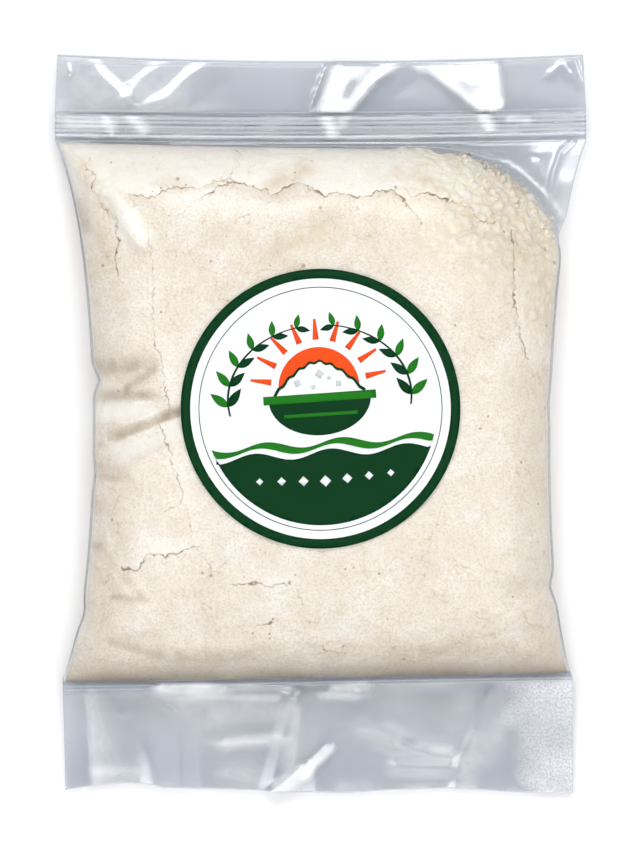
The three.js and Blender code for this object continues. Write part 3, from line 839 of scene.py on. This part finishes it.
def makeCrumbs():
    rng = random.Random(crumbs["seed"])
    bm = bmesh.new()
    for _ in range(crumbs["count"]):
        s = 0.12 + 0.86 * rng.random()
        top = float(fillTopAt(np.array(s), powder["drop"]))
        inward = abs(rng.gauss(0, 4.5)) if rng.random() < 0.8 else -abs(rng.gauss(0, 1.6))
        y = top - inward - 0.6
        x = min(float(xOf(s, np.array(y))), float(rightEdge(np.array(y))) - 3)
        size = crumbs["smallest"] + (crumbs["largest"] - crumbs["smallest"]) * rng.random() ** 2.6
        spotX, spotY = np.array([x]), np.array([y])
        bed = float(powderBed(spotX, spotY)[0])
        if inward > 0:  # it lies on the powder
            bed = max(bed, float(powderTop(spotX, spotY)[0]))
        roof = float(filmFront(spotX, spotY)[0]) - 0.3
        size = min(size, max(0.3, (roof - bed) * 0.62))
        z = min(bed + size * 0.15, roof - size * 0.7)
        made = bmesh.ops.create_icosphere(bm, subdivisions=2 if size > 0.9 else 1, radius=size * mm)
        angle = rng.uniform(0, 6.28)
        axis = Vector((rng.gauss(0, 1), rng.gauss(0, 1), rng.gauss(0, 1))).normalized()
        turn = Matrix.Rotation(angle, 3, axis)
        squash = Vector((rng.uniform(0.75, 1.3), rng.uniform(0.75, 1.2), rng.uniform(0.55, 0.85)))
        for v in made["verts"]:
            knob = 1 + rng.uniform(-0.2, 0.2)
            v.co = Vector((x * mm, y * mm, z * mm)) + turn @ (v.co * knob * squash)
    bmesh.ops.recalc_face_normals(bm, faces=bm.faces)
    piece = pieceFrom(bm, "loose_crumbs", saltPowder.data.materials[0])
    for name, value in {"crumbly": 0.6, "painted_light": 0.4, "hollow_shade": 0, "crack": 0, "shaded": 0}.items():
        addMask(piece, name, np.full(len(piece.data.vertices), value))
    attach(piece, "root")


makeCrumbs()
print("crumbs made")


# Closing strip

strip = {
    "ribs": [(0.75, 0.5), (1.95, 0.7), (3.3, 0.55), (4.65, 0.7), (6.0, 0.5)],  # place up the strip, rise
    "grooves": [(0.15, 0.8), (1.3, 0.9), (2.6, 0.6), (4.0, 1.0), (5.3, 0.7), (6.65, 0.9)],  # place, how dark; painted shade in the grooves between the ribs
    "glints": [  # painted highlights where folds cross it, given as the folds are
        (-72, 86.5, -60, 86, 0.5, 1.6, 1.6, 2), (-54.5, 88.6, -51, 84.6, 0.8, 1.6, 1.6, 2),
        (-62, 88.8, -60, 83.6, 0.6, 0.9, 0.9, 2), (1.5, 88.6, 3.4, 83.4, 1, 1.5, 1.5, 2),
        (7.6, 88.8, 6, 86, 0.6, 1, 1, 2), (46.8, 88.2, 48.5, 85.2, 1, 1.4, 1.4, 2),
        (54, 87.6, 60, 87.2, 0.6, 0.8, 0.8, 2),
    ],
    "ribWidth": 0.42, "grooveWidth": 0.18, "body": 0.55, "lift": 0.28, "mirror": (0.05, 0.9),
    "through": (0.975, 0.98, 0.99, 1), "groove": (0.68, 0.71, 0.76, 1),
    "milk": srgb(240, 244, 249), "haze": 0.38, "glintHaze": 0.85, "roughness": 0.2,
}


def stripMaterial():
    material, tree = newMaterial("strip_plastic")
    stretch = node(tree, "ShaderNodeMapping", {"Vector": objectSpot(tree), "Scale": (25, 600, 25)}).outputs[0]
    streaks = fade(tree, noise(tree, stretch, 1.0, 2.0), 0.3, 0.7, 0.6, 1)
    groove = mask(tree, "groove")
    haze = times(tree, times(tree, streaks, strip["haze"]), calc(tree, "SUBTRACT", 1.0, groove))
    haze = plus(tree, haze, times(tree, mask(tree, "glint"), strip["glintHaze"]))
    tint = mixColour(tree, groove, strip["through"], strip["groove"])
    clearPlastic(tree, tint, strip["milk"], haze, mirroring(tree, *strip["mirror"]), strip["roughness"])
    return material


def makeStrip():
    width = pouch["stripHigh"] - pouch["stripLow"]
    columns, ups = spaced((-1, 1, 130)), spaced((0, width, 68))
    bm = newGrid(len(columns) - 1, len(ups) - 1)
    isTop = doubled(bm)
    s, up = gridPlaces(bm, columns, ups)
    x, low = spotOf(s, pouch["stripLow"])
    _, high = spotOf(s, pouch["stripHigh"])
    y = low + (high - low) * up / width
    ribs = sum(rise * bell(up - at, strip["ribWidth"]) for at, rise in strip["ribs"])
    wave = 0.18 * uneven(s * 76, s * 0, 6, 51)
    floorOfBed = seamHeight(x, y) + pouch["filmPair"] / 2 - pouch["bedDepth"] + strip["lift"]
    z = np.where(isTop, floorOfBed + strip["body"] + ribs + wave, floorOfBed)
    setPlaces(bm.verts, x, y, z)
    bmesh.ops.recalc_face_normals(bm, faces=bm.faces)
    piece = pieceFrom(bm, "ribbed_strip", stripMaterial())
    onRibs = unit(0.4 + 2 * ribs / 0.7 * (0.6 + 0.6 * uneven(x, y, 1.8, 52, 0.3)))
    # painted highlights: white milk on the ribs where folds cross the strip
    addMask(piece, "glint", folded(x, y, strip["glints"]) * onRibs)
    # painted shade: the strip is tinted darker in the grooves between its ribs
    grooves = sum(dark * bell(up - at, strip["grooveWidth"]) for at, dark in strip["grooves"])
    addMask(piece, "groove", grooves * (0.65 + 0.6 * uneven(x, up * 3, 5, 53)))
    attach(piece, "root")
    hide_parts("closing_strip")


makeStrip()
print("closing strip made")


# Sticker

sticker = {
    "centre": (0.0, 4.4), "radius": 39.7, "turn": 4.0, "lift": 0.2, "thickness": 0.14, "inkStep": 0.03,
    "cells": 2.0,
    "rim": 2.8, "line": (34.3, 34.55),
    "waves": [  # of a salt sea along the bottom: ink, layer, height, swell, where the swell starts
        ("midGreen", 1, -9.5, 1.1, 0.0), ("white", 2, -11.2, 1.1, 0.6), ("darkGreen", 3, -12.6, 1.2, 1.0),
    ],
    "grains": [(-6, 7.6, 1.7), (0.4, 9.8, 2.0), (5.6, 6.8, 1.5), (-1.6, 6.2, 1.2), (3, 8.6, 1.0)],
    "white": srgb(240, 244, 248), "darkGreen": srgb(0, 56, 24), "midGreen": srgb(30, 118, 26),
    "orange": srgb(236, 80, 26), "pale": srgb(206, 214, 214),
}


def inkMaterial(name, colour, roughness, shine):
    material, tree = newMaterial(name)
    spot = objectSpot(tree)
    cloud, fine = noise(tree, spot, 70.0, 3.0), noise(tree, spot, 1500.0, 2.0)
    darker = tuple(c * 0.93 for c in colour[:3]) + (1,)
    tone = mixColour(tree, fade(tree, cloud, 0.4, 0.7), colour, darker)
    sheen = fade(tree, cloud, 0.3, 0.7, roughness - 0.06, roughness + 0.08)
    height = plus(tree, times(tree, cloud, 0.5), times(tree, fine, 0.04))
    solidSurface(tree, tone, sheen, shine, (height, 0.35, 0.0012))
    return material


inks = ["white", "darkGreen", "midGreen", "orange", "pale"]


def arc(radii, angles, y=0.0):
    return [(radii[0] * math.cos(t), y + radii[1] * math.sin(t)) for t in angles]


def disc(radius, segments=120):
    return arc((radius, radius), [2 * math.pi * i / segments for i in range(segments)])


def square(size):
    half = size / 2
    return [(-half, -half), (half, -half), (half, half), (-half, half)]


def onSide(points, side):  # drawn for the left, and mirrored for the right
    return points if side < 0 else [(-a, b) for a, b in reversed(points)]


def turned(points, degrees, x=0.0, y=0.0):
    c, s = math.cos(math.radians(degrees)), math.sin(math.radians(degrees))
    return [(x + c * a - s * b, y + s * a + c * b) for a, b in points]


def leaf(length, width, steps=9):
    along = [i / steps for i in range(steps + 1)]
    side = [(length * t, width / 2 * math.sin(math.pi * t**0.8)) for t in along]
    return side + [(a, -b) for a, b in reversed(side[1:-1])]


def stickerDesign():  # (ink, layer, outline or two rings), in the sticker's own millimetres
    outer, (ringIn, ringOut) = sticker["radius"], sticker["line"]
    shapes = [
        ("white", 0, disc(outer)),
        ("darkGreen", 1, (disc(outer - sticker["rim"]), disc(outer - 0.05))),
        ("darkGreen", 1, (disc(ringIn), disc(ringOut))),
    ]
    inner = ringIn - 1.3
    for ink, layer, base, swell, rise in sticker["waves"]:
        a = math.asin(-base / inner)
        places = np.linspace(-inner * math.cos(a), inner * math.cos(a), 60)
        wave = [(x, base + swell * math.sin(x / 3.4 + rise)) for x in places]
        shapes.append((ink, layer, wave[:-1] + arc((inner, inner), np.linspace(-a, a - math.pi, 48))))
    shapes.append(("orange", 1, arc((11.5, 11.5), np.linspace(0, math.pi, 32), 6)))  # sun
    for i in range(9):
        ray = [(13.6, -0.9), (19.5, -0.35), (19.5, 0.35), (13.6, 0.9)]
        shapes.append(("orange", 1, turned(ray, 10 + 20 * i, 0, 6)))
    places = np.linspace(-12.5, 12.5, 40)
    heap = [(x, 4 + 9.0 * (1 - abs(x / 12.5) ** 1.7) + 0.35 * math.sin(x * 2.1)) for x in places]
    shapes += [
        ("darkGreen", 2, [(a * 1.05, b + 0.7) for a, b in heap] + [(13.1, 2.6), (-13.1, 2.6)]),
        ("white", 3, heap + [(12.3, 3.4), (-12.3, 3.4)]),
        ("darkGreen", 3, arc((14.5, 10.5), np.linspace(0, -math.pi, 36), 3)),  # bowl
        ("midGreen", 4, [(-16, 2), (16, 2), (16, 4.4), (-16, 4.4)]),
        ("midGreen", 4, [(-10.5, -2.1), (10.5, -2.1), (10.5, -1.1), (-10.5, -1.1)]),
    ]
    for i, (x, y, size) in enumerate(sticker["grains"]):
        shapes.append(("pale", 4, turned(square(size), 20 + 31 * i, x, y)))
    for side in (-1, 1):  # a sprig on each side
        for i in range(6):
            t = math.radians(182 - 16 * i)
            x, y = 26.0 * math.cos(t), 3 + 24.0 * math.sin(t) * 0.86
            for lean, ink, layer in ((48, "midGreen", 1), (-40, "darkGreen", 2)):
                shape = turned(leaf(6.4 - 0.45 * i, 2.5 - 0.15 * i), 92 - 13 * i + lean, x, y)
                shapes.append((ink, layer, onSide(shape, side)))
        stem = arc((26.0, 20.6), np.radians(np.linspace(190, 98, 24)), 3)
        band = [(a * 0.99, b) for a, b in stem] + [(a * 1.012, b + 0.3) for a, b in reversed(stem)]
        shapes.append(("darkGreen", 3, onSide(band, side)))
    for i in range(-3, 4):  # a row of crystals on the sea
        shapes.append(("white", 4, turned(square(2.3 - 0.28 * abs(i)), 45, 6.2 * i, -20.5 + 0.35 * abs(i))))
    return shapes


def stickerHeight(x, y):  # paper is stiffer than film, so it bridges the small folds
    return smoothFront(x, y) + sticker["lift"] + 0.1 * uneven(x, y, 13, 61)


def makeSticker():
    turn = math.radians(sticker["turn"])
    cx, cy = sticker["centre"]
    whole = bmesh.new()
    for ink, layer, outline in stickerDesign():
        bm = bmesh.new()
        if isinstance(outline, tuple):  # a ring between two outlines
            loops = []
            for ring in outline:
                verts = [bm.verts.new((a, b, 0)) for a, b in ring]
                loops += [bm.edges.new((verts[i], verts[i - 1])) for i in range(len(verts))]
            bmesh.ops.bridge_loops(bm, edges=loops)
        else:
            bm.faces.new([bm.verts.new((a, b, 0)) for a, b in outline])
            bm.normal_update()
            bmesh.ops.triangulate(bm, faces=bm.faces)
        bmesh.ops.rotate(bm, verts=bm.verts, cent=(0, 0, 0), matrix=Matrix.Rotation(turn, 3, "Z"))
        step = sticker["cells"]
        for axis, normal in enumerate((Vector((1, 0, 0)), Vector((0, 1, 0)))):  # to follow the pouch
            reach = [v.co[axis] for v in bm.verts]
            for i in range(math.ceil(min(reach) / step), math.floor(max(reach) / step) + 1):
                geom = bm.verts[:] + bm.edges[:] + bm.faces[:]
                bmesh.ops.bisect_plane(bm, geom=geom, plane_co=normal * i * step, plane_no=normal)
        bmesh.ops.remove_doubles(bm, verts=bm.verts, dist=0.002)
        bmesh.ops.triangulate(bm, faces=[f for f in bm.faces if len(f.verts) > 4])
        isTop = doubled(bm)
        x, y, _ = placesOf(bm)
        x, y = x + cx, y + cy
        top = sticker["thickness"] + sticker["inkStep"] * layer
        bottom = 0.0 if layer == 0 else sticker["thickness"] - 0.05
        setPlaces(bm.verts, x, y, stickerHeight(x, y) + np.where(isTop, top, bottom))
        for face in bm.faces:
            face.material_index = inks.index(ink)
        part = bpy.data.meshes.new("part")
        bm.to_mesh(part)
        bm.free()
        whole.from_mesh(part)
        bpy.data.meshes.remove(part)
    bmesh.ops.recalc_face_normals(whole, faces=whole.faces)
    shine = {"white": 0.25}
    materials = [inkMaterial("sticker_" + ink, sticker[ink], 0.42, shine.get(ink, 0.08)) for ink in inks]
    piece = pieceFrom(whole, "round_sticker", *materials)
    for face in piece.data.polygons:
        face.use_smooth = abs(face.normal.z) > 0.5
    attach(piece, "root")
    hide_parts("sticker")


makeSticker()
print("sticker made")


# Stage, light and camera

stage = {
    "floor": srgb(250, 250, 251), "floorSize": 3.2,
    "sky": [  # height and brightness of a pale tent, dark round the camera
        (0.0, 0.34), (0.86, 0.4), (0.895, 1.2), (0.925, 1.2), (0.955, 0.35), (1.0, 0.05),
    ],
    "lights": [  # name, place, size, watts
        ("key", (0.05, 0.85, 1.3), (0.95, 0.45), 8.5),
        ("left", (-0.7, -0.1, 1.3), (0.34, 1.3), 5.4),
        ("right", (0.72, -0.1, 1.3), (0.34, 1.3), 5.0),
        ("near", (0.1, -1.0, 1.2), (0.9, 0.4), 2.6),
    ],
    "cameraSpot": (-0.00014, -0.00063), "cameraHeight": 2.0, "lens": 293.4,
}


def makeStage():
    bm = newGrid(2, 2, stage["floorSize"] / 2)
    bmesh.ops.translate(bm, verts=bm.verts, vec=(0, 0, -0.0002))
    material, tree = newMaterial("pale_floor")
    solidSurface(tree, stage["floor"], 0.8, 0.1)
    pieceFrom(bm, "pale_floor", material)

    world = bpy.data.worlds.new("studio")
    scene.world = world
    world.use_nodes = True
    tree = world.node_tree
    tree.nodes.clear()
    way = node(tree, "ShaderNodeTexCoord").outputs["Generated"]
    up = node(tree, "ShaderNodeSeparateXYZ", {"Vector": way}).outputs["Z"]
    tone = ramp(tree, up, *[(height, grey(level)) for height, level in stage["sky"]])
    light = node(tree, "ShaderNodeBackground", {"Color": tone, "Strength": 1.0})
    node(tree, "ShaderNodeOutputWorld", {"Surface": light.outputs[0]})

    for name, place, (width, height), watts in stage["lights"]:
        lamp = bpy.data.lights.new(name, "AREA")
        lamp.shape, lamp.size, lamp.size_y, lamp.energy = "RECTANGLE", width, height, watts
        holder = bpy.data.objects.new(name, lamp)
        scene.collection.objects.link(holder)
        holder.location = place
        holder.rotation_euler = (-Vector(place)).to_track_quat("-Z", "Y").to_euler()

    camera = bpy.data.objects.new("camera", bpy.data.cameras.new("camera"))
    scene.collection.objects.link(camera)
    camera.location = (*stage["cameraSpot"], stage["cameraHeight"])
    camera.data.lens, camera.data.sensor_width = stage["lens"], 36
    camera.data.clip_start, camera.data.clip_end = 0.05, 20
    scene.camera = camera
    scene.view_settings.view_transform = "Standard"
    cycles = scene.cycles
    cycles.transparent_max_bounces = 12
    cycles.max_bounces, cycles.diffuse_bounces, cycles.glossy_bounces = 4, 2, 2


makeStage()
print("stage made")
